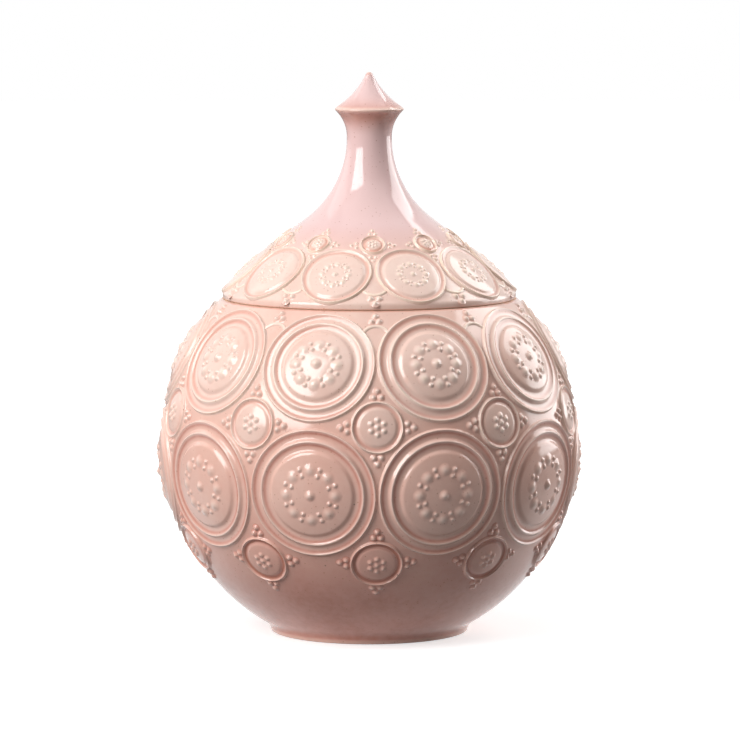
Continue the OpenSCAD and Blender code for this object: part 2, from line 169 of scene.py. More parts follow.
MOUTH_LAT = math.degrees(math.acos(MOUTH_R / GLOBE_R))
UPPER_LAT = row_lat(MOUTH_LAT, SHOULDER_GAP)
UPPER_REACH = roundel_reach(UPPER_LAT)
LOWER_LAT = row_lat(UPPER_LAT - degrees_along(UPPER_REACH), ROW_GAP)
LOWER_REACH = roundel_reach(LOWER_LAT)
ROWS_MEET_LAT = (UPPER_LAT * LOWER_REACH + LOWER_LAT * UPPER_REACH) / (UPPER_REACH + LOWER_REACH)
MIDDLE_LAT = ROWS_MEET_LAT - degrees_along(MIDDLE_DROP)
LOWER_ROSETTE_LAT = LOWER_LAT - degrees_along(LOWER_ROSETTE_DROP)
ARCH_LAT = MOUTH_LAT - degrees_along(ARCH_DROP)

# Profile of the relief, in millimetres; a hem is (width, depth), and the bend of a ring's rise is a power

CREST_H = 1.1
CREST_IN = 0.35
CREST_FALL = 1.2
CREST_STEP = 4.0
CREST_ROUND = 0.4
RISE_BEND = 2.8
VALLEY_H = 0.05
VALLEY_ROUND = 0.45
DISC_STEP = 4.0
DISC_EDGE_H = 0.85
DISC_TOP_H = 1.6
DISC_ROUND = 0.5
OUTER_SLOPE = 0.15
OUTER_ROUND = 0.5
HEM = (0.9, 0.08)
LID_HEM = (0.2, 0.8)
UNDER_H = 1.2
GROUND_H = 0.1
LID_DISC_STEP = 2.7
LID_DISC_TOP_H = 1.2
LID_VALLEY_H = 0.25
LID_FALL = 0.9
ROSETTE_STEP = 2.4
ROSETTE_FALL = 0.8
ROSETTE_EDGE_H = 0.6
ROSETTE_TOP_H = 0.95
LID_ROSETTE_STEP = 1.3
LID_ROSETTE_FALL = 0.5
MIDDLE_ROSETTE_R = 9.0
LOWER_ROSETTE_R = 9.1
LID_ROSETTE_R = 4.4
ARCH_R = 5.0
ARCH_W = 1.3
ARCH_H = 0.48
ARCH_FLANK = 0.1
ARCH_HEM = (0.5, 0.08)

# Beads as (width, height) and their places on the sprigs, in millimetres

LOW_BEAD = (5.0, 0.64)
PAIR_BEAD = (2.3, 0.55)
MIDDLE_BEAD = (4.3, 0.95)
FLOWER_BEAD = (2.6, 0.6)
TRIAD_BEAD = (3.2, 0.95)
LID_LOW_BEAD = (3.0, 0.45)
LID_PAIR_BEAD = (1.5, 0.37)
LID_MIDDLE_BEAD = (2.8, 0.6)
LID_FLOWER_BEAD = (1.5, 0.4)
LID_TRIAD_BEAD = (2.0, 0.55)
WHEEL_BEADS = 8
UPPER_WHEEL_R = 7.3
LOWER_WHEEL_R = 8.7
LID_WHEEL_R = 4.8
PAIR_STEP = 2.4
PAIR_IN = 0.4
LID_PAIR_STEP = 1.5
LID_PAIR_IN = 0.3
PETALS = 6
FLOWER_R = 2.55
LID_FLOWER_R = 1.35
TRIAD_GAP = 1.4
TRIAD_STEP = 2.55
LID_TRIAD_STEP = 1.95
RIM_TRIAD_NEAR = 6.6
RIM_TRIAD_STEP = 3.0
RIM_TRIAD_RISE = 2.15

# Height of a triangle whose three sides are one

EVEN_RISE = math.sin(math.radians(60))

# Form of a bead: the power that softens its dome, then hem and underside in shares of its width and height

BEAD_SOFT = 1.8
BEAD_HEM = (0.56, -0.06)
BEAD_UNDER = (0, -0.3)

# Fineness of the meshes: counts, then steps in millimetres, and along an arch in degrees

WARE_TURNS = 216
SPRIG_SPOKES = 72
ROSETTE_SPOKES = 64
BEAD_SPOKES = 12
BEAD_RINGS = 8
RISE_STEPS = 11
EASE_STEPS = 7
ARCH_STEPS_LEAST = 6
LONG_STEP = 1.2
EVEN_STEP = 0.6
FINE_STEP = 0.3
FINEST_STEP = 0.15
ARCH_STEP = 3

# Thinness of the glaze, from 0 where it pools to 1 where it breaks: the thinner, the paler. The tones by row
# also carry painted light and shade, paler on the upper rows and the lid where light falls, and deeper
# towards the foot where shade falls

POOLED_AND_SHADED = 0.12
INSIDE_THIN = 0.4
FOOT_ROW_TONE = 0.25
NECK_TONE = 0.28
LOWER_TONE = 0.46
MIDDLE_TONE = 0.54
UPPER_TONE = 0.62
LID_TONE = 0.72
FOOT_EDGE_THIN = 0.85
LID_EDGE_THIN = 0.7
# Painted shade along the seam where the lid sits on the jar
SEAM_SHADE = 0.45
# Painted shade under the finial's lip
LIP_SHADE = 0.25
# Share of the painted neck sheen held off under the lip, so that the painted shade there stays warm
LIP_SHADE_WARMTH = 0.8
GROUND_GAIN = -0.05
# Darkening of a band inside each crest: partly pooled glaze, partly painted shade on the crest's steep inner
# face
GROOVE_POOL_AND_SHADE = -0.36
CREST_GAIN = 0.25
BEAD_GAIN = 0.22
BEAD_POOL = 0.03
TRIAD_POOL = 0.16

# Where the glaze breaks, pools and fades, and where shade is painted inside the crests, along the seam and
# under the finial's lip, in millimetres, and in degrees for the fade above the foot

CREST_W = 0.5
ROSETTE_CREST_W = 0.45
GROOVE_IN = 1.0
GROOVE_W = 0.62
SEAM_W = 0.4
FOOT_EDGE_UP = 0.6
FOOT_EDGE_W = 0.9
FOOT_FADE = 6
FINIAL_EDGE_UP = 0.3
FINIAL_EDGE_W = 1.3
TIP_W = 1.6
RIM_W = 0.8
LIP_IN = 2
LIP_W = 5
NECK_FADE_IN = 8
NECK_FADE_W = 14

# Where the glaze is wiped off, and how far a point may lie from the face it is counted to, in millimetres

WIPED_IN = 0.4
STANDING_H = 0.12
OUTSIDE_T = 0.5
MOUTH_FACE_T = 0.05
SEAT_FACE_T = 0.01
SEAT_CLEAR_T = 0.02


# Outlines, as arrays of (distance from the axis, height) in millimetres

def bow(start, end, rise, step):
    """Arc from start to end that swells by rise to the left of the way along it."""
    start, end = np.array(start, float), np.array(end, float)
    along = end - start
    chord = np.linalg.norm(along)
    along = along / chord
    left = np.array([-along[1], along[0]])
    count = max(2, int(math.ceil(chord / step)))
    if abs(rise) < TINY:
        return start + np.linspace(0, chord, count + 1)[:, None] * along
    radius = (chord ** 2 / 4 + rise ** 2) / (2 * abs(rise))
    half = math.asin(min(1, chord / 2 / radius))
    turn = np.linspace(-half, half, count + 1)
    out = math.copysign(1, rise) * (radius * np.cos(turn) - (radius - abs(rise)))
    return start + (chord / 2 + radius * np.sin(turn))[:, None] * along + out[:, None] * left


def arc(centre, radius, first, last, step):
    """Arc about a centre between two angles in degrees."""
    count = max(2, int(math.ceil(abs(math.radians(last - first)) * radius / step)))
    turn = np.radians(np.linspace(first, last, count + 1))
    return np.array(centre) + radius * np.stack([np.cos(turn), np.sin(turn)], 1)


def chain(*stretches):
    """Joins stretches end to end and drops doubled points."""
    line = np.concatenate([np.atleast_2d(np.array(s, float)) for s in stretches])
    apart = np.linalg.norm(np.diff(line, axis=0), axis=1) > SAME_PLACE
    return line[np.concatenate([[True], apart])]


def eased(line, corner, reach):
    """Rounds the outline where it passes a corner, over a reach to either side."""
    corner = np.array(corner, float)
    gap = np.linalg.norm(line - corner, axis=1)
    first = last = int(gap.argmin())
    while gap[first - 1] < reach:
        first -= 1
    while gap[last + 1] < reach:
        last += 1
    before, after = line[first - 1], line[last + 1]
    start = corner + (before - corner) * reach / np.linalg.norm(before - corner)
    end = corner + (after - corner) * reach / np.linalg.norm(after - corner)
    t = np.linspace(0, 1, EASE_STEPS + 1)[:, None]
    curve = (1 - t) ** 2 * start + 2 * t * (1 - t) * corner + t ** 2 * end
    return chain(line[:first], curve, line[last + 1:])


def angle_to(centre, point):
    """Direction from a centre to a point, in degrees."""
    return math.degrees(math.atan2(point[1] - centre[1], point[0] - centre[0]))


def crossing(p, q, p_radius, q_radius):
    """Left-hand crossing of the circles about p and q."""
    p, q = np.array(p, float), np.array(q, float)
    gap = np.linalg.norm(q - p)
    u = (q - p) / gap
    x = (gap ** 2 + p_radius ** 2 - q_radius ** 2) / (2 * gap)
    return p + x * u + math.sqrt(p_radius ** 2 - x ** 2) * np.array([-u[1], u[0]])


RIM = (LID_R, SEAM_Z + LID_RIM_H)
OGEE_C = (NECK_R + OGEE_R, NECK_Z)
SKIRT_C = crossing(RIM, OGEE_C, SKIRT_R, SKIRT_R + OGEE_R)
SKIRT_TOP = np.array(OGEE_C) + (SKIRT_C - np.array(OGEE_C)) * OGEE_R / (OGEE_R + SKIRT_R)


def jar_outline():
    """Half outline of the jar: up the inside from the floor, over the mouth and down to the foot."""
    centre = (0, GLOBE_Z)
    inner_r = GLOBE_R - GLOBE_WALL
    floor_z = BASE_Z + FLOOR_T
    floor_r = math.sqrt(inner_r ** 2 - (GLOBE_Z - floor_z) ** 2)
    bore_z = GLOBE_Z + math.sqrt(inner_r ** 2 - BORE_R ** 2)
    floor_corner = (floor_r, floor_z)
    bore_foot = (BORE_R, bore_z)
    bore_top = (BORE_R, SEAM_Z)
    mouth = (MOUTH_R, SEAM_Z)
    foot_top = (FOOT_R, FOOT_H)
    foot_edge = (FOOT_R, 0)
    foot_inside = (FOOT_R - FOOT_W, 0)
    foot_recess = (FOOT_R - FOOT_W, BASE_Z)
    line = chain(
        bow((0, floor_z), floor_corner, 0, LONG_STEP),
        arc(centre, inner_r, angle_to(centre, floor_corner), angle_to(centre, bore_foot), LONG_STEP),
        bow(bore_foot, bore_top, 0, FINE_STEP),
        bow(bore_top, mouth, 0, FINE_STEP),
        arc(centre, GLOBE_R, angle_to(centre, mouth), angle_to(centre, foot_top), EVEN_STEP),
        bow(foot_top, foot_edge, 0, FINE_STEP),
        bow(foot_edge, foot_inside, 0, FINE_STEP),
        bow(foot_inside, foot_recess, 0, FINE_STEP),
        bow(foot_recess, (0, BASE_Z), 0, LONG_STEP),
    )
    for corner, reach in (
        (floor_corner, FLOOR_EASE), (bore_foot, BORE_FOOT_EASE), (bore_top, BORE_TOP_EASE),
        (mouth, MOUTH_EASE), (foot_edge, FOOT_EDGE_EASE), (foot_top, FOOT_TOP_EASE),
        (foot_inside, FOOT_INSIDE_EASE), (foot_recess, FOOT_RECESS_EASE),
    ):
        line = eased(line, corner, reach)
    return line


def lid_outline():
    """Half outline of the lid: from the point down the outside, under the seat and up the hollow."""
    tip_c = (0, TIP_Z - TIP_R)
    lean = math.radians(TIP_LEAN)
    point_top = (TIP_R * math.cos(lean), TIP_Z - TIP_R * (1 - math.sin(lean)))
    edge_c = (FINIAL_R - FINIAL_EDGE, FINIAL_Z)
    point_foot = (FINIAL_R - FINIAL_EDGE, FINIAL_Z + FINIAL_EDGE)
    half = np.linalg.norm(np.array(point_foot) - np.array(point_top)) / 2
    point_rise = POINT_R - math.sqrt(POINT_R ** 2 - half ** 2)
    flare_c = (NECK_R + FLARE_R, NECK_Z)
    lip_end = angle_to(edge_c, flare_c)
    seat_z = SEAM_Z + LID_SEAT
    edge = (LID_R, seat_z)
    hollow_r = FLANGE_R - FLANGE_W
    inner_r = SKIRT_R - LID_WALL
    hollow_foot = (hollow_r, SKIRT_C[1] + math.sqrt(inner_r ** 2 - (hollow_r - SKIRT_C[0]) ** 2))
    hollow_z = SEAM_Z + LID_HOLLOW_H
    hollow_top = (SKIRT_TOP[0] / 2, hollow_z)
    line = chain(
        arc(tip_c, TIP_R, 90, TIP_LEAN, FINEST_STEP),
        bow(point_top, point_foot, -point_rise, EVEN_STEP),
        arc(edge_c, FINIAL_EDGE, 90, lip_end, FINE_STEP),
        arc(flare_c, FLARE_R, lip_end + 180, 180, EVEN_STEP),
        arc(OGEE_C, OGEE_R, 180, angle_to(OGEE_C, SKIRT_TOP) % 360, EVEN_STEP),
        arc(SKIRT_C, SKIRT_R, angle_to(SKIRT_C, SKIRT_TOP), angle_to(SKIRT_C, RIM), EVEN_STEP),
        bow(RIM, edge, 0, FINE_STEP),
        bow(edge, (hollow_r, seat_z), 0, EVEN_STEP),
        bow((hollow_r, seat_z), hollow_foot, 0, EVEN_STEP),
        bow(hollow_foot, hollow_top, 0, LONG_STEP),
        bow(hollow_top, (0, hollow_z), 0, LONG_STEP),
    )
    for corner, reach in (
        (point_top, TIP_EASE), (point_foot, FINIAL_LIP_EASE), (RIM, LID_EDGE_EASE), (edge, LID_EDGE_EASE),
        (hollow_foot, HOLLOW_FOOT_EASE), (hollow_top, HOLLOW_TOP_EASE),
    ):
        line = eased(line, corner, reach)
    return line


def flange_outline():
    """Half outline of the locating ring under the lid, as a closed loop."""
    inner = FLANGE_R - FLANGE_W
    corners = ((FLANGE_R, FLANGE_Z), (inner, FLANGE_Z))
    line = chain(
        bow((inner, SEAM_Z), (FLANGE_R, SEAM_Z), 0, EVEN_STEP),
        bow((FLANGE_R, SEAM_Z), corners[0], 0, FINE_STEP),
        bow(corners[0], corners[1], 0, FINE_STEP),
        bow(corners[1], (inner, SEAM_Z), 0, FINE_STEP),
    )
    for corner in corners:
        line = eased(line, corner, FLANGE_EASE)
    return line


def crested(disc, crests, top, edge_h, valley, fall, out, hem):
    """Outline of a round sprig from its middle out: a domed disc, then for each crest a short fall and a
    hollow rise up to it, and last the outer flank with a hem tucked into the ware."""
    dome = bow((0, top), (disc, edge_h), 0, EVEN_STEP)
    dome[:, 1] = edge_h + (top - edge_h) * (1 - (dome[:, 0] / disc) ** 2)
    stretches, corners, start = [dome], [((disc, edge_h), DISC_ROUND)], (disc, edge_h)
    share = np.linspace(0, 1, RISE_STEPS + 1)
    for s in crests:
        dip = (start[0] + fall, valley)
        rise = np.stack([dip[0] + (s - dip[0]) * share, valley + (CREST_H - valley) * share ** RISE_BEND], 1)
        stretches += [bow(start, dip, 0, FINEST_STEP), rise]
        corners += [(dip, VALLEY_ROUND), ((s, CREST_H), CREST_ROUND)]
        start = (s, CREST_H)
    foot = (out + OUTER_SLOPE, 0)
    stretches += [bow(start, foot, 0, FINEST_STEP), bow(foot, (foot[0] + hem[0], -hem[1]), 0, FINE_STEP)]
    line = chain(*stretches)
    for corner, reach in corners + [(foot, OUTER_ROUND)]:
        line = eased(line, corner, reach)
    return line


def large_roundel(reach):
    """Two rings about a domed disc."""
    outer = reach - CREST_IN
    inner = outer - CREST_STEP
    return crested(
        inner - DISC_STEP, (inner, outer), DISC_TOP_H, DISC_EDGE_H, VALLEY_H, CREST_FALL, reach, HEM
    )


def lid_roundel(reach):
    """One ring about a domed disc."""
    outer = reach - CREST_IN
    return crested(
        outer - LID_DISC_STEP, (outer,), LID_DISC_TOP_H, DISC_EDGE_H, LID_VALLEY_H, LID_FALL, reach, LID_HEM
    )


def rosette(reach, step, fall):
    """One ring about a low disc, small enough to stand between roundels."""
    crest = reach - CREST_IN
    return crested(crest - step, (crest,), ROSETTE_TOP_H, ROSETTE_EDGE_H, VALLEY_H, fall, reach, HEM)


# Skins from outlines

def revolve(line, turns):
    """Turns an outline about the axis; a point on the axis becomes one pole, a loop closes on itself."""
    loop = np.linalg.norm(line[0] - line[-1]) < SAME_PLACE
    rows = line[:-1] if loop else line
    turn = np.linspace(0, 2 * math.pi, turns, endpoint=False)
    starts, points, owner = [], [], []
    for index, (r, z) in enumerate(rows):
        starts.append((len(points), r < TINY))
        ring = [(0, 0, z)] if r < TINY else [(r * math.cos(a), r * math.sin(a), z) for a in turn]
        points.extend(ring)
        owner.extend([index] * len(ring))
    faces = []
    pairs = list(zip(starts, starts[1:])) + ([(starts[-1], starts[0])] if loop else [])
    for (a, a_pole), (b, b_pole) in pairs:
        for k in range(turns):
            n = (k + 1) % turns
            if a_pole:
                faces.append((a, b + k, b + n))
            elif b_pole:
                faces.append((a + k, b, a + n))
            else:
                faces.append((a + k, b + k, b + n, a + n))
    return np.array(points), faces, np.array(owner)


def skin(name, points, faces, **marks):
    """Mesh from points in millimetres, with one number per point for each named mark."""
    mesh = bpy.data.meshes.new(name)
    mesh.from_pydata((np.asarray(points) * MM).tolist(), [], faces)
    for mark, values in marks.items():
        layer = mesh.attributes.new(mark, "FLOAT", "POINT")
        layer.data.foreach_set("value", np.asarray(values, np.float32))
    mesh.shade_smooth()
    mesh.update()
    return mesh


def place(name, data):
    """Puts a mesh, lamp or camera into the scene as an object."""
    obj = bpy.data.objects.new(name, data)
    bpy.context.scene.collection.objects.link(obj)
    return obj


def piece(obj, body, slot, *nodes):
    """Makes an object stand for nodes of the frame, on their body. The slot is not used."""
    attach(obj, body)
    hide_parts(*nodes)


# Pressing a flat sprig onto the ware: x runs down the slope, y across it, h out of it

def on_globe(lat):
    """Press for sprigs whose middle lies on a latitude of the globe."""
    lean = math.radians(90 - lat)

    def press(x, y, h):
        s = np.hypot(x, y) / GLOBE_R
        turn = np.arctan2(y, x)
        r = GLOBE_R + h
        u = r * np.sin(s) * np.cos(turn)
        w = r * np.cos(s)
        return np.stack([
            u * math.cos(lean) + w * math.sin(lean),
            r * np.sin(s) * np.sin(turn),
            GLOBE_Z - u * math.sin(lean) + w * math.cos(lean),
        ], -1)
    return press


def on_lid(at):
    """Press for sprigs whose middle lies on the skirt at a distance from the axis."""
    start = math.acos((at - SKIRT_C[0]) / SKIRT_R)

    def press(x, y, h):
        a = start - x / SKIRT_R
        turn = y / (SKIRT_C[0] + SKIRT_R * np.cos(a))
        r = SKIRT_C[0] + (SKIRT_R + h) * np.cos(a)
        return np.stack([r * np.cos(turn), r * np.sin(turn), SKIRT_C[1] + (SKIRT_R + h) * np.sin(a)], -1)
    return press


EDGE_SLOPE = math.sin(math.acos((LID_R - SKIRT_C[0]) / SKIRT_R))
HALF_SINE = math.sin(math.radians(COLUMN_STEP / 2))
LID_ROUNDEL_AT = (
    (LID_R - LID_ROUNDEL_EDGE + EDGE_SLOPE * LID_ROUNDEL_GAP / 2) / (1 + EDGE_SLOPE * HALF_SINE)
)
LID_ROUNDEL_REACH = LID_ROUNDEL_AT * HALF_SINE - LID_ROUNDEL_GAP / 2
LID_ROSETTE_AT = LID_R - LID_ROSETTE_IN
LID_ARCH_AT = LID_R - LID_ARCH_IN


# Beads as (x, y, bead) on a flat sprig

def spot(radius, degrees, bead):
    """Bead at a distance and in a direction from the middle of its sprig."""
    a = math.radians(degrees)
    return radius * math.cos(a), radius * math.sin(a), bead


def wheel(radius, low, pair, middle, step, inset):
    """Circle of low beads with pairs of small ones between them, about a middle bead."""
    turn = 360 / WHEEL_BEADS
    beads = [spot(0, 0, middle)]
    for i in range(WHEEL_BEADS):
        beads.append(spot(radius, i * turn, low))
        for s in (-step / 2, step / 2):
            beads.append(spot(radius - inset + s, (i + 0.5) * turn, pair))
    return beads


def flower(radius, bead):
    """Middle bead with a circle of petals about it."""
    return [spot(0, 0, bead)] + [spot(radius, i * 360 / PETALS, bead) for i in range(PETALS)]


def triad(near, step, rise, degrees, bead):
    """Three beads in a triangle that points away from a sprig."""
    a = math.radians(degrees)
    spots = ((near, -step / 2), (near, step / 2), (near + rise, 0))
    return [(x * math.cos(a) - y * math.sin(a), x * math.sin(a) + y * math.cos(a), bead) for x, y in spots]


def side_triads(reach, step, bead):
    """Groups of three below, beside and above a rosette."""
    rise = step * EVEN_RISE
    return [b for turn in range(0, 360, 90) for b in triad(reach + TRIAD_GAP, step, rise, turn, bead)]


def bead_outline():
    """Bead one millimetre wide and high, softened by the glaze so that its foot runs out flat."""
    share = np.linspace(0, 1, BEAD_RINGS)
    dome = np.stack([share / 2, np.cos(share * math.pi / 2) ** BEAD_SOFT], 1)
    return chain(dome, BEAD_HEM, BEAD_UNDER)


def bead_mesh(name, groups):
    """Beads in groups of (press, beads, ground, thin, pool): each lies on a sprig whose height ground gives,
    bent with it over the ware, under a glaze of that thinness and painted light that breaks on top and pools
    at the foot."""
    form, form_faces, _ = revolve(bead_outline(), BEAD_SPOKES)
    points, faces, marks = [], [], []
    for press, beads, ground, thin, pool in groups:
        gain = np.interp(form[:, 2], (0, 1), (-pool, BEAD_GAIN))
        for x, y, (width, height) in beads:
            u, v = x + form[:, 0] * width, y + form[:, 1] * width
            faces += [tuple(k + len(form) * len(points) for k in face) for face in form_faces]
            points.append(press(u, v, ground(np.hypot(u, v)) + form[:, 2] * height))
            marks.append(thin + gain)
    marks = np.concatenate(marks)
    return skin(name, np.concatenate(points), faces, thin=marks, bare=np.zeros(len(marks)))


# Sprigs as flat skins that are pressed onto the ware

def round_sprig(name, line, spokes, press, crests, thin):
    """Round sprig, closed underneath inside the wall. Over its disc the glaze has the thinness given; it
    breaks along the crests and pools in the hollows between them; a band just inside each crest is darker,
    partly as pooled glaze and partly as painted shade."""
    line = chain(line, (0, -UNDER_H))
    points, faces, owner = revolve(line, spokes)
    outside = (line[:, 1] < GROUND_H) & (line[:, 0] > crests[0][0])
    depth = np.where(outside, thin + GROUND_GAIN, thin)
    for crest, width in crests:
        depth += CREST_GAIN * np.exp(-((line[:, 0] - crest) / width) ** 2)
        # Darker band just inside each crest: partly pooled glaze, partly painted shade on its steep inner
        # face
        depth += GROOVE_POOL_AND_SHADE * np.exp(-((line[:, 0] - crest + GROOVE_IN) / GROOVE_W) ** 2)
    spots = press(points[:, 0], points[:, 1], points[:, 2])
    return skin(name, spots, faces, thin=depth[owner], bare=np.zeros(len(points)))


def arch_sprig(name, half, turn, press, thin):
    """Stretch of a round-topped ridge bent round a circle, to either side of a direction in degrees."""
    flank = ARCH_W / 2 + ARCH_FLANK
    hem = ARCH_W / 2 + ARCH_HEM[0]
    loop = chain(
        (-hem, -ARCH_HEM[1]),
        bow((-flank, 0), (flank, 0), ARCH_H, FINEST_STEP),
        (hem, -ARCH_HEM[1]),
        (0, -UNDER_H),
    )
    steps = max(ARCH_STEPS_LEAST, int(half / ARCH_STEP))
    angles = np.radians(np.linspace(turn - half, turn + half, 2 * steps + 1))
    s = ARCH_R + loop[:, 0]
    x = (np.cos(angles)[:, None] * s).ravel()
    y = (np.sin(angles)[:, None] * s).ravel()
    h = np.tile(loop[:, 1], len(angles))
    n = len(loop)
    faces = []
    for i in range(len(angles) - 1):
        for j in range(n):
            k = (j + 1) % n
            faces.append((i * n + j, i * n + k, (i + 1) * n + k, (i + 1) * n + j))
    faces.append(tuple(range(n - 1, -1, -1)))
    faces.append(tuple(range((len(angles) - 1) * n, len(angles) * n)))
    depth = np.tile(thin + np.clip(loop[:, 1] / ARCH_H, 0, 1) * CREST_GAIN, len(angles))
    return skin(name, press(x, y, h), faces, thin=depth, bare=np.zeros(len(x)))


# Nodes

def add(tree, kind, inputs=None, **settings):
    """Adds a node with its settings, and sets or links its inputs by name or number."""
    node = tree.nodes.new(kind)
    for name, value in settings.items():
        setattr(node, name, value)
    for key, value in (inputs or {}).items():
        if isinstance(value, bpy.types.NodeSocket):
            tree.links.new(value, node.inputs[key])
        else:
            node.inputs[key].default_value = value
    return node


def linear(colour):
    """Linear RGBA of an sRGB hex colour."""
    parts = [int(colour[i:i + 2], 16) / 255 for i in (1, 3, 5)]
    return tuple(c / 12.92 if c <= 0.04045 else ((c + 0.055) / 1.055) ** 2.4 for c in parts) + (1,)


def per_metre(size_mm):
    """Texture scale at which a pattern repeats about every size."""
    return 1 / (size_mm * MM)


def sprig_row_tree():
    """Geometry nodes that join a sprig and its beads and repeat them in columns about the axis."""
    tree = bpy.data.node_groups.new("sprig_row", "GeometryNodeTree")
    for name, kind in (
        ("Sprig", "NodeSocketGeometry"), ("Beads", "NodeSocketObject"),
        ("Columns", "NodeSocketInt"), ("First turn", "NodeSocketFloat"), ("Glaze", "NodeSocketMaterial"),
    ):
        tree.interface.new_socket(name, in_out="INPUT", socket_type=kind)
    tree.interface.new_socket("Row", in_out="OUTPUT", socket_type="NodeSocketGeometry")
    given = add(tree, "NodeGroupInput").outputs
    beads = add(tree, "GeometryNodeObjectInfo", {"Object": given["Beads"]})
    motif = add(tree, "GeometryNodeJoinGeometry", {0: given["Sprig"]})
    tree.links.new(beads.outputs["Geometry"], motif.inputs[0])
    stamp = add(tree, "GeometryNodeGeometryToInstance", {0: motif.outputs[0]})
    places = add(tree, "GeometryNodeMeshLine", {"Count": given["Columns"], "Offset": (0, 0, 0)})
    index = add(tree, "GeometryNodeInputIndex")
    step = add(tree, "ShaderNodeMath", {0: 2 * math.pi, 1: given["Columns"]}, operation="DIVIDE")
    angle = add(tree, "ShaderNodeMath", {
        0: index.outputs[0], 1: step.outputs[0], 2: given["First turn"],
    }, operation="MULTIPLY_ADD")
    spin = add(tree, "FunctionNodeAxisAngleToRotation", {"Axis": (0, 0, 1), "Angle": angle.outputs[0]})
    row = add(tree, "GeometryNodeInstanceOnPoints", {
        "Points": places.outputs[0], "Instance": stamp.outputs[0], "Rotation": spin.outputs[0],
    })
    real = add(tree, "GeometryNodeRealizeInstances", {0: row.outputs[0]})
    coated = add(tree, "GeometryNodeSetMaterial", {"Geometry": real.outputs[0], "Material": given["Glaze"]})
    add(tree, "NodeGroupOutput", {0: coated.outputs[0]})
    return tree


def sprig_row(name, sprig, beads, column, glaze):
    """One row of sprigs as a plain mesh object, its first copy a share of a column from the front."""
    maker = place(name + "_maker", sprig)
    row = maker.modifiers.new("row", "NODES")
    row.node_group = ROW_TREE
    sockets = {s.name: s.identifier for s in ROW_TREE.interface.items_tree if s.in_out == "INPUT"}
    row[sockets["Beads"]] = beads
    row[sockets["Columns"]] = COLUMNS
    row[sockets["First turn"]] = math.radians(FRONT_COLUMN + column * COLUMN_STEP)
    row[sockets["Glaze"]] = glaze
    bpy.context.view_layer.update()
    made = bpy.data.meshes.new_from_object(maker.evaluated_get(bpy.context.evaluated_depsgraph_get()))
    made.name = name
    made.shade_smooth()
    maker.modifiers.clear()
    for helper in (maker, beads):
        if helper:
            bpy.data.objects.remove(helper)
    return place(name, made)


# Materials, with the sizes of their patterns in millimetres

CLOUD_MM = 26
CLOUD_SWING = 0.3
MOTTLE_MM = 2.6
MOTTLE_SWING = 0.16
RIPPLE_MM = 7
RIPPLE_DEPTH = 0.1
SAND_MM = 0.9
SAND_DEPTH = 0.08
GLAZE_IOR = 1.58
POOLED_ROUGH = 0.08
BROKEN_ROUGH = 0.18
CLAY_ROUGH = 0.85

# Specks as (millimetres between cells, reach of a dot in cells, share of empty cells, strength)

FINE_SPECKS = (1.3, 0.24, 0.2, 0.6)
LARGE_SPECKS = (5, 0.08, 0.4, 0.65)
SPECK_SHARPNESS = 2


def new_material(name):
    """Empty material with a principled shader, and its tree."""
    material = bpy.data.materials.new(name)
    material.use_nodes = True
    tree = material.node_tree
    tree.nodes.clear()
    shader = add(tree, "ShaderNodeBsdfPrincipled")
    add(tree, "ShaderNodeOutputMaterial", {"Surface": shader.outputs[0]})
    return material, tree, shader


def specks(tree, where, apart_mm, reach, sparse, strength):
    """Round specks: cells of a size, of which a share stay empty, with dots up to a reach in cells."""
    cells = add(tree, "ShaderNodeTexVoronoi", {"Vector": where, "Scale": per_metre(apart_mm)})
    chance = add(tree, "ShaderNodeSeparateColor", {0: cells.outputs["Color"]})
    size = add(tree, "ShaderNodeMapRange", {
        "Value": chance.outputs[0], "From Min": sparse, "From Max": 1.0, "To Min": 0.0, "To Max": reach,
    })
    inside = add(tree, "ShaderNodeMath", {
        0: size.outputs[0], 1: cells.outputs["Distance"],
    }, operation="SUBTRACT")
    dot = add(tree, "ShaderNodeMath", {
        0: inside.outputs[0], 1: SPECK_SHARPNESS / reach,
    }, operation="MULTIPLY", use_clamp=True)
    return add(tree, "ShaderNodeMath", {0: dot.outputs[0], 1: strength}, operation="MULTIPLY").outputs[0]


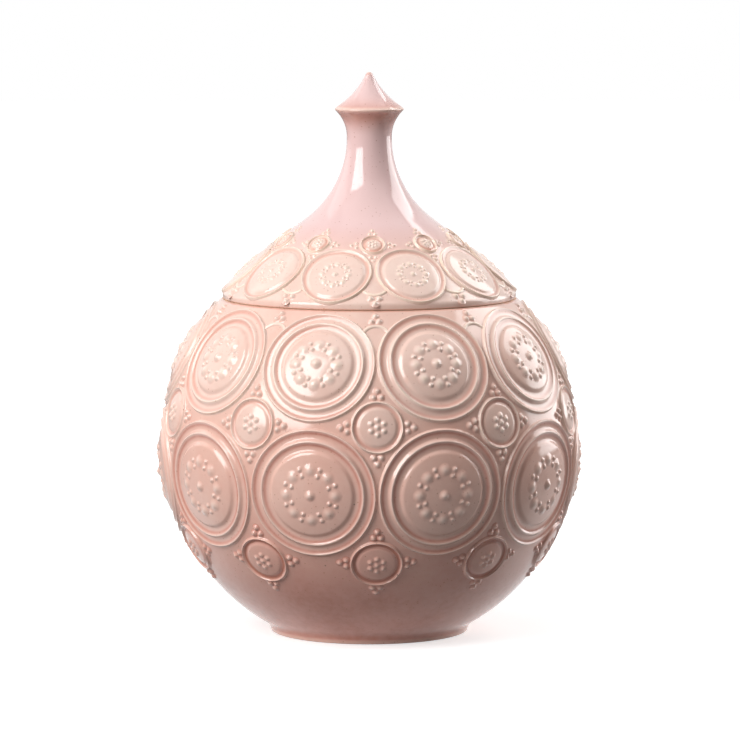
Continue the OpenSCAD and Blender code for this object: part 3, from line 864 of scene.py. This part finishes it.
def speckled_pink_glaze():
    """Dipped stoneware glaze, semi-gloss: it pools to a deep salmon pink in hollows and towards the foot,
    breaks to warm cream where it thins over crests and edges, clouds over a few centimetres, and is pricked
    with iron specks from the clay. Its tone
    mark also holds painted light and shade: paler higher up, darker inside crests, along the seam, under the
    finial's lip and towards the foot, and a paler, cooler pink is painted on the neck as its white sheen.
    Where it was wiped off, the clay shows buff and matt."""
    material, tree, shader = new_material("speckled_pink_glaze")
    where = add(tree, "ShaderNodeTexCoord").outputs["Object"]
    thin = add(tree, "ShaderNodeAttribute", attribute_name="thin").outputs["Fac"]
    bare = add(tree, "ShaderNodeAttribute", attribute_name="bare").outputs["Fac"]
    cool = add(tree, "ShaderNodeAttribute", attribute_name="cool").outputs["Fac"]
    cloud = add(tree, "ShaderNodeTexNoise", {
        "Vector": where, "Scale": per_metre(CLOUD_MM), "Detail": 2.0, "Roughness": 0.5,
    })
    mottle = add(tree, "ShaderNodeTexNoise", {
        "Vector": where, "Scale": per_metre(MOTTLE_MM), "Detail": 3.0, "Roughness": 0.6,
    })
    drift = add(tree, "ShaderNodeMath", {
        0: cloud.outputs["Fac"], 1: CLOUD_SWING, 2: -CLOUD_SWING / 2,
    }, operation="MULTIPLY_ADD")
    grain = add(tree, "ShaderNodeMath", {
        0: mottle.outputs["Fac"], 1: MOTTLE_SWING, 2: -MOTTLE_SWING / 2,
    }, operation="MULTIPLY_ADD")
    clouded = add(tree, "ShaderNodeMath", {0: thin, 1: drift.outputs[0]}, operation="ADD")
    depth = add(tree, "ShaderNodeMath", {
        0: clouded.outputs[0], 1: grain.outputs[0],
    }, operation="ADD", use_clamp=True)
    tone = add(tree, "ShaderNodeValToRGB", {"Fac": depth.outputs[0]})
    ramp = tone.color_ramp.elements
    ramp[0].position, ramp[0].color = 0.0, linear("#bf7c68")
    ramp[1].position, ramp[1].color = 1.0, linear("#f7e0cc")
    for position, colour in ((0.15, "#da9f90"), (0.35, "#e3b2a2"), (0.55, "#eac2b3"), (0.75, "#f0d3c6")):
        ramp.new(position).color = linear(colour)
    # Paler, cooler pink painted over the neck as its white sheen
    cooled = add(tree, "ShaderNodeMix", {0: cool, 6: tone.outputs[0], 7: linear("#e8c6c3")}, data_type="RGBA")
    flecked = add(tree, "ShaderNodeMix", {
        0: specks(tree, where, *FINE_SPECKS), 6: cooled.outputs[2], 7: linear("#a8684a"),
    }, data_type="RGBA")
    spotted = add(tree, "ShaderNodeMix", {
        0: specks(tree, where, *LARGE_SPECKS), 6: flecked.outputs[2], 7: linear("#5e4436"),
    }, data_type="RGBA")
    clay = add(tree, "ShaderNodeMix", {
        0: mottle.outputs["Fac"], 6: linear("#cfae90"), 7: linear("#e2c8ac"),
    }, data_type="RGBA")
    colour = add(tree, "ShaderNodeMix", {
        0: bare, 6: spotted.outputs[2], 7: clay.outputs[2],
    }, data_type="RGBA")
    gloss = add(tree, "ShaderNodeMapRange", {
        "Value": depth.outputs[0], "From Min": 0.0, "From Max": 1.0,
        "To Min": POOLED_ROUGH, "To Max": BROKEN_ROUGH,
    })
    matt = add(tree, "ShaderNodeMix", {0: bare, 2: gloss.outputs[0], 3: CLAY_ROUGH})
    ripple = add(tree, "ShaderNodeTexNoise", {"Vector": where, "Scale": per_metre(RIPPLE_MM), "Detail": 1.0})
    bump = add(tree, "ShaderNodeBump", {
        "Strength": 0.25, "Distance": RIPPLE_DEPTH * MM, "Height": ripple.outputs["Fac"],
    })
    links = tree.links
    links.new(colour.outputs[2], shader.inputs["Base Color"])
    links.new(matt.outputs[0], shader.inputs["Roughness"])
    links.new(bump.outputs[0], shader.inputs["Normal"])
    shader.inputs["IOR"].default_value = GLAZE_IOR
    return material


def wiped_clay():
    """Bare stoneware, sponged smooth and fired: buff, matt and faintly sandy."""
    material, tree, shader = new_material("wiped_clay")
    where = add(tree, "ShaderNodeTexCoord").outputs["Object"]
    sand = add(tree, "ShaderNodeTexNoise", {"Vector": where, "Scale": per_metre(SAND_MM), "Detail": 3.0})
    tone = add(tree, "ShaderNodeValToRGB", {"Fac": sand.outputs["Fac"]})
    ramp = tone.color_ramp.elements
    ramp[0].position, ramp[0].color = 0.25, linear("#c39f80")
    ramp[1].position, ramp[1].color = 0.75, linear("#e0c5a8")
    bump = add(tree, "ShaderNodeBump", {
        "Strength": 0.4, "Distance": SAND_DEPTH * MM, "Height": sand.outputs["Fac"],
    })
    tree.links.new(tone.outputs[0], shader.inputs["Base Color"])
    tree.links.new(bump.outputs[0], shader.inputs["Normal"])
    shader.inputs["Roughness"].default_value = CLAY_ROUGH
    return material


# The ware itself

def nearness(line, *marks):
    """How close each outline point is to any of the marks, given as (point, width), from 0 to 1."""
    close = np.zeros(len(line))
    for point, width in marks:
        gap = np.linalg.norm(line - np.array(point), axis=1)
        close = np.maximum(close, np.exp(-(gap / width) ** 2))
    return close


def make_jar(glaze):
    """Globe and foot under one glaze that is paler towards the mouth and deeper towards the foot, partly as
    painted light and shade, painted darker along the seam as its shade, and wiped off the seat and the foot.
    """
    line = jar_outline()
    points, faces, owner = revolve(line, WARE_TURNS)
    outside = np.hypot(line[:, 0], line[:, 1] - GLOBE_Z) > GLOBE_R - OUTSIDE_T
    lat = np.degrees(np.arcsin(np.clip((line[:, 1] - GLOBE_Z) / GLOBE_R, -1, 1)))
    # Tone by latitude: partly the glaze running thicker towards the foot, partly painted light on the upper
    # globe and painted shade on the lower globe
    relief_foot = LOWER_ROSETTE_LAT - degrees_along(LOWER_ROSETTE_R)
    lats = (relief_foot - FOOT_FADE, LOWER_ROSETTE_LAT, LOWER_LAT, UPPER_LAT)
    tones = (POOLED_AND_SHADED, FOOT_ROW_TONE, LOWER_TONE + GROUND_GAIN, UPPER_TONE + GROUND_GAIN)
    thin = np.where(outside, np.interp(lat, lats, tones), INSIDE_THIN)
    thin = np.maximum(thin, FOOT_EDGE_THIN * nearness(line, ((FOOT_R, FOOT_EDGE_UP), FOOT_EDGE_W)))
    # Painted shade along the seam, on the jar's side
    thin -= SEAM_SHADE * nearness(line, ((MOUTH_R, SEAM_Z), SEAM_W))
    seat = (line[:, 1] > SEAM_Z - MOUTH_FACE_T) & (line[:, 0] < MOUTH_R - WIPED_IN)
    standing = line[:, 1] < STANDING_H
    bare = (seat | standing).astype(float)
    mesh = skin("jar_ware", points, faces, thin=thin[owner], bare=bare[owner])
    mesh.materials.append(glaze)
    piece(place("jar_ware", mesh), "jar", "pink_glaze", "globe", "foot_ring")


def make_lid(glaze):
    """Skirt, neck and finial under one glaze that is deeper on the neck, with a paler, cooler pink painted
    there as sheen, painted darker under the finial's lip and along the seam as their shade, and wiped off the
    seat.
    """
    line = lid_outline()
    points, faces, owner = revolve(line, WARE_TURNS)
    skirt = np.clip((line[:, 0] - LID_ROSETTE_AT + NECK_FADE_IN) / NECK_FADE_W, 0, 1)
    outside = line[:, 1] > SEAM_Z + LID_SEAT + SEAT_CLEAR_T
    thin = np.where(outside, NECK_TONE + (LID_TONE + GROUND_GAIN - NECK_TONE) * skirt, INSIDE_THIN)
    finial_edge = ((FINIAL_R, FINIAL_Z + FINIAL_EDGE_UP), FINIAL_EDGE_W)
    edges = nearness(line, finial_edge, ((0, TIP_Z), TIP_W), (RIM, RIM_W))
    # Painted shade under the finial's lip: darker, and kept warm by holding the painted sheen off it
    shade_under_lip = nearness(line, ((FINIAL_R - LIP_IN, FINIAL_Z - LIP_IN), LIP_W))
    thin = np.maximum(thin - LIP_SHADE * shade_under_lip, LID_EDGE_THIN * edges)
    # Painted shade along the seam, on the lid's side
    thin -= SEAM_SHADE * nearness(line, ((LID_R, SEAM_Z), SEAM_W))
    # Where the painted neck sheen lies: fading onto the skirt, off the edges and off the shade under the lip
    cool = (1 - skirt) * (1 - edges) * (1 - LIP_SHADE_WARMTH * shade_under_lip)
    bare = (line[:, 1] < SEAM_Z + LID_SEAT + SEAT_FACE_T) & (line[:, 0] < LID_R - WIPED_IN)
    bare = bare.astype(float)
    mesh = skin("lid_ware", points, faces, thin=thin[owner], bare=bare[owner], cool=cool[owner])
    mesh.materials.append(glaze)
    piece(place("lid_ware", mesh), "lid", "pink_glaze", "lid_dome", "lid_finial")


def make_flange(clay):
    """Locating ring of bare clay under the lid."""
    points, faces, _ = revolve(flange_outline(), WARE_TURNS)
    mesh = skin("locating_ring", points, faces)
    mesh.materials.append(clay)
    piece(place("locating_ring", mesh), "lid", "bare_clay", "lid_flange")


# The rows of relief

def on_sprig(line):
    """Height of a sprig's top at a distance from its middle."""
    return lambda s: np.interp(s, line[:, 0], line[:, 1])


def on_plain_wall(s):
    """No height, for beads that stand on the ware itself."""
    return np.zeros_like(s)


def make_round_row(node, body, line, spokes, press, crests, beads, column, thin, glaze):
    """One row of round sprigs with their beads, as one piece."""
    name = node + "_relief"
    sprig = round_sprig(name + "_sprig", line, spokes, press, crests, thin)
    groups = [(press, beads, on_sprig(line), thin, BEAD_POOL)]
    bead_set = place(name + "_beads", bead_mesh(name + "_beads", groups))
    piece(sprig_row(name, sprig, bead_set, column, glaze), body, "pink_glaze", node)


def make_roundels(glaze):
    """Large roundels in two rows on the globe, and smaller ones on the lid."""
    for node, lat, reach, radius, thin in (
        ("upper_roundels", UPPER_LAT, UPPER_REACH, UPPER_WHEEL_R, UPPER_TONE),
        ("lower_roundels", LOWER_LAT, LOWER_REACH, LOWER_WHEEL_R, LOWER_TONE),
    ):
        outer = reach - CREST_IN
        crests = ((outer, CREST_W), (outer - CREST_STEP, CREST_W))
        beads = wheel(radius, LOW_BEAD, PAIR_BEAD, MIDDLE_BEAD, PAIR_STEP, PAIR_IN)
        make_round_row(
            node, "jar", large_roundel(reach), SPRIG_SPOKES, on_globe(lat),
            crests, beads, BETWEEN_COLUMNS, thin, glaze,
        )
    crests = ((LID_ROUNDEL_REACH - CREST_IN, CREST_W),)
    beads = wheel(LID_WHEEL_R, LID_LOW_BEAD, LID_PAIR_BEAD, LID_MIDDLE_BEAD, LID_PAIR_STEP, LID_PAIR_IN)
    make_round_row(
        "lid_roundels", "lid", lid_roundel(LID_ROUNDEL_REACH), SPRIG_SPOKES, on_lid(LID_ROUNDEL_AT),
        crests, beads, BETWEEN_COLUMNS, LID_TONE, glaze,
    )


def make_rosettes(glaze):
    """Rosettes between and below the rows of roundels, and on the lid."""
    petals, lid_petals = flower(FLOWER_R, FLOWER_BEAD), flower(LID_FLOWER_R, LID_FLOWER_BEAD)
    ring, lid_ring = (ROSETTE_STEP, ROSETTE_FALL), (LID_ROSETTE_STEP, LID_ROSETTE_FALL)
    for node, body, press, reach, profile, beads, thin in (
        ("middle_rosettes", "jar", on_globe(MIDDLE_LAT), MIDDLE_ROSETTE_R, ring, petals, UPPER_TONE),
        ("lower_rosettes", "jar", on_globe(LOWER_ROSETTE_LAT), LOWER_ROSETTE_R, ring, petals, FOOT_ROW_TONE),
        ("lid_rosettes", "lid", on_lid(LID_ROSETTE_AT), LID_ROSETTE_R, lid_ring, lid_petals, LID_TONE),
    ):
        crests = ((reach - CREST_IN, ROSETTE_CREST_W),)
        make_round_row(
            node, body, rosette(reach, *profile), ROSETTE_SPOKES, press,
            crests, beads, ON_COLUMN, thin, glaze,
        )


def arch_half(gap, rise, reach):
    """Half the angle of an arch whose ends run under the crests of its two neighbours."""
    away = math.hypot(gap, rise)
    toward = math.degrees(math.atan2(gap, -rise))
    crest = reach - CREST_IN
    lean = math.degrees(math.acos((ARCH_R ** 2 + away ** 2 - crest ** 2) / (2 * ARCH_R * away)))
    return toward - lean


def make_arches(glaze):
    """Arches that open downhill on the shoulder and uphill on the lid, towards their roundels."""
    gap = GLOBE_R * math.radians(COLUMN_STEP / 2) * math.cos(math.radians((ARCH_LAT + UPPER_LAT) / 2))
    rise = GLOBE_R * math.radians(ARCH_LAT - UPPER_LAT)
    half = arch_half(gap, rise, UPPER_REACH)
    sprig = arch_sprig("shoulder_arch", half, UPHILL, on_globe(ARCH_LAT), UPPER_TONE)
    row = sprig_row("shoulder_arches_relief", sprig, None, ON_COLUMN, glaze)
    piece(row, "jar", "pink_glaze", "shoulder_arches")
    gap = math.radians(COLUMN_STEP / 2) * (LID_ARCH_AT + LID_ROUNDEL_AT) / 2
    rise = (LID_ARCH_AT - LID_ROUNDEL_AT) / EDGE_SLOPE
    half = arch_half(gap, rise, LID_ROUNDEL_REACH)
    sprig = arch_sprig("lid_arch", half, DOWNHILL, on_lid(LID_ARCH_AT), LID_TONE)
    row = sprig_row("lid_arches_relief", sprig, None, ON_COLUMN, glaze)
    piece(row, "lid", "pink_glaze", "lid_arches")


def make_triads(glaze):
    """Groups of three beads about the rosettes and by the arches."""
    near_arch = ARCH_R + ARCH_W / 2 + TRIAD_GAP
    above_arch = triad(near_arch, TRIAD_STEP, TRIAD_STEP * EVEN_RISE, UPHILL, TRIAD_BEAD)
    below_arch = triad(RIM_TRIAD_NEAR, RIM_TRIAD_STEP, RIM_TRIAD_RISE, DOWNHILL, TRIAD_BEAD)
    for node, body, on_ware, sets in (
        ("jar_bead_triads", "jar", on_globe, (
            (ARCH_LAT, above_arch, UPPER_TONE),
            (MIDDLE_LAT, side_triads(MIDDLE_ROSETTE_R, TRIAD_STEP, TRIAD_BEAD), MIDDLE_TONE),
            (LOWER_ROSETTE_LAT, side_triads(LOWER_ROSETTE_R, TRIAD_STEP, TRIAD_BEAD), FOOT_ROW_TONE),
        )),
        ("lid_bead_triads", "lid", on_lid, (
            (LID_ARCH_AT, below_arch, LID_TONE),
            (LID_ROSETTE_AT, side_triads(LID_ROSETTE_R, LID_TRIAD_STEP, LID_TRIAD_BEAD), LID_TONE),
        )),
    ):
        name = node + "_relief"
        groups = [(on_ware(at), beads, on_plain_wall, thin, TRIAD_POOL) for at, beads, thin in sets]
        piece(sprig_row(name, bead_mesh(name, groups), None, ON_COLUMN, glaze), body, "pink_glaze", node)


# Camera, in metres, degrees and pixels of the picture

CAMERA_AWAY = 1.7
CAMERA_UP = 0.2698
CAMERA_DOWN = 5.92
FRAME_PX = 740
FOCAL_PX = 4788
AXIS_PX = 369.3
SENSOR_MM = 36


def make_camera():
    """Camera fitted to the picture, with the jar's axis a little off its middle."""
    data = bpy.data.cameras.new("camera")
    data.sensor_width = SENSOR_MM
    data.lens = SENSOR_MM * FOCAL_PX / FRAME_PX
    data.shift_x = (FRAME_PX / 2 - AXIS_PX) / FRAME_PX
    camera = place("camera", data)
    camera.location = (0, -CAMERA_AWAY, CAMERA_UP)
    camera.rotation_euler = (math.radians(90 - CAMERA_DOWN), 0, 0)
    bpy.context.scene.camera = camera


# Lamps as (name, azimuth, elevation, distance, (width, height), power), in degrees, metres and watts

LAMP_AIM_Z = 0.1
LAMPS = (
    ("key", -50, 31, 1.2, (0.75, 0.9), 15.5),
    ("left_fill", -115, 30, 1.2, (0.7, 1.0), 2),
    ("right_strip", 116, 26, 1.2, (0.8, 1.3), 14),
    ("top", 20, 80, 1.1, (1.4, 1.4), 4),
)


def make_softbox(name, azimuth, elevation, away, size, power):
    """Area lamp round the jar: azimuth 0 is the camera's side, and 90 is to its right."""
    data = bpy.data.lights.new(name, "AREA")
    data.shape = "RECTANGLE"
    data.size, data.size_y = size
    data.energy = power
    a, e = math.radians(azimuth), math.radians(elevation)
    lamp = place(name, data)
    lamp.location = (
        away * math.sin(a) * math.cos(e), -away * math.cos(a) * math.cos(e), LAMP_AIM_Z + away * math.sin(e)
    )
    lamp.rotation_euler = (math.radians(90) - e, 0, a)


# Backdrop and floor: spans in metres on the floor, and in the Y part of a direction on the backdrop

AMBIENT = 0.06
BACKDROP_SPAN = (0.2, 0.8)
FLOOR_SIZE = 8
FLOOR_GLOW = 0.6
FLOOR_GLOW_SPAN = (0.2, 0.8)
FLOOR_GLOSS = (0.25, 0.95)
FLOOR_GLOSS_SPAN = (-0.05, -0.01)
FAR_GLOSS = 0.25
FAR_GLOSS_SPAN = (0.12, 0.3)
FOOT_PALE_SPAN = (0.042, 0.066)


def seen_share(tree, gloss_share):
    """1 for what the camera sees, a share of it for what a gloss shows, and 0 for light on the object."""
    path = add(tree, "ShaderNodeLightPath").outputs
    gloss = add(tree, "ShaderNodeMath", {0: path["Is Glossy Ray"], 1: gloss_share}, operation="MULTIPLY")
    direct = add(tree, "ShaderNodeMath", {
        0: path["Is Camera Ray"], 1: path["Is Transmission Ray"],
    }, operation="MAXIMUM")
    seen = add(tree, "ShaderNodeMath", {0: gloss.outputs[0], 1: direct.outputs[0]}, operation="MAXIMUM")
    return seen.outputs[0]


def make_world():
    """White backdrop all round to the eye. A gloss shows it white behind the jar and dim before it."""
    world = bpy.data.worlds.new("studio")
    world.use_nodes = True
    tree = world.node_tree
    tree.nodes.clear()
    way = add(tree, "ShaderNodeSeparateXYZ", {0: add(tree, "ShaderNodeTexCoord").outputs["Generated"]})
    behind = add(tree, "ShaderNodeMapRange", {
        "Value": way.outputs["Y"], "From Min": BACKDROP_SPAN[0], "From Max": BACKDROP_SPAN[1],
    })
    seen = seen_share(tree, behind.outputs[0])
    strength = add(tree, "ShaderNodeMapRange", {"Value": seen, "To Min": AMBIENT, "To Max": 1.0})
    light = add(tree, "ShaderNodeBackground", {"Color": (1, 1, 1, 1), "Strength": strength.outputs[0]})
    add(tree, "ShaderNodeOutputWorld", {"Surface": light.outputs[0]})
    bpy.context.scene.world = world


def make_floor():
    """Pale table top: white to the eye, with the jar's shadow. The light it throws back is grey, but for a
    pale ring close about the foot. A gloss shows it dim before the jar and white behind, and fading away
    from the jar."""
    half = FLOOR_SIZE / 2 / MM
    corners = [(-half, -half, 0), (half, -half, 0), (half, half, 0), (-half, half, 0)]
    mesh = skin("floor", corners, [(0, 1, 2, 3)])
    material = bpy.data.materials.new("white_table")
    material.use_nodes = True
    tree = material.node_tree
    tree.nodes.clear()
    where = add(tree, "ShaderNodeTexCoord").outputs["Object"]
    away = add(tree, "ShaderNodeVectorMath", {0: where}, operation="LENGTH").outputs["Value"]
    side = add(tree, "ShaderNodeSeparateXYZ", {0: where}).outputs["Y"]
    paint = add(tree, "ShaderNodeBsdfDiffuse", {"Color": linear("#d8d8d8")})
    strength = add(tree, "ShaderNodeMapRange", {
        "Value": away, "From Min": FLOOR_GLOW_SPAN[0], "From Max": FLOOR_GLOW_SPAN[1],
        "To Min": FLOOR_GLOW, "To Max": 1.0,
    })
    glow = add(tree, "ShaderNodeEmission", {"Color": (1, 1, 1, 1), "Strength": strength.outputs[0]})
    bright = add(tree, "ShaderNodeAddShader", {0: paint.outputs[0], 1: glow.outputs[0]})
    near = add(tree, "ShaderNodeMapRange", {
        "Value": away, "From Min": FOOT_PALE_SPAN[0], "From Max": FOOT_PALE_SPAN[1],
        "To Min": 1.0, "To Max": 0.0,
    })
    tone = add(tree, "ShaderNodeMix", {
        0: near.outputs[0], 6: linear("#808080"), 7: linear("#e0e0e0"),
    }, data_type="RGBA")
    dull = add(tree, "ShaderNodeBsdfDiffuse", {"Color": tone.outputs[2]})
    behind = add(tree, "ShaderNodeMapRange", {
        "Value": side, "From Min": FLOOR_GLOSS_SPAN[0], "From Max": FLOOR_GLOSS_SPAN[1],
        "To Min": FLOOR_GLOSS[0], "To Max": FLOOR_GLOSS[1],
    })
    fading = add(tree, "ShaderNodeMapRange", {
        "Value": away, "From Min": FAR_GLOSS_SPAN[0], "From Max": FAR_GLOSS_SPAN[1],
        "To Min": 1.0, "To Max": FAR_GLOSS,
    })
    share = add(tree, "ShaderNodeMath", {0: behind.outputs[0], 1: fading.outputs[0]}, operation="MULTIPLY")
    seen = seen_share(tree, share.outputs[0])
    surface = add(tree, "ShaderNodeMixShader", {0: seen, 1: dull.outputs[0], 2: bright.outputs[0]})
    add(tree, "ShaderNodeOutputMaterial", {"Surface": surface.outputs[0]})
    mesh.materials.append(material)
    place("floor", mesh)


# The whole picture

bpy.context.scene.view_settings.view_transform = "Standard"
make_camera()
make_world()
make_floor()
for lamp_values in LAMPS:
    make_softbox(*lamp_values)

ROW_TREE = sprig_row_tree()
GLAZE = speckled_pink_glaze()
make_jar(GLAZE)
make_lid(GLAZE)
make_flange(wiped_clay())
make_roundels(GLAZE)
make_rosettes(GLAZE)
make_arches(GLAZE)
make_triads(GLAZE)
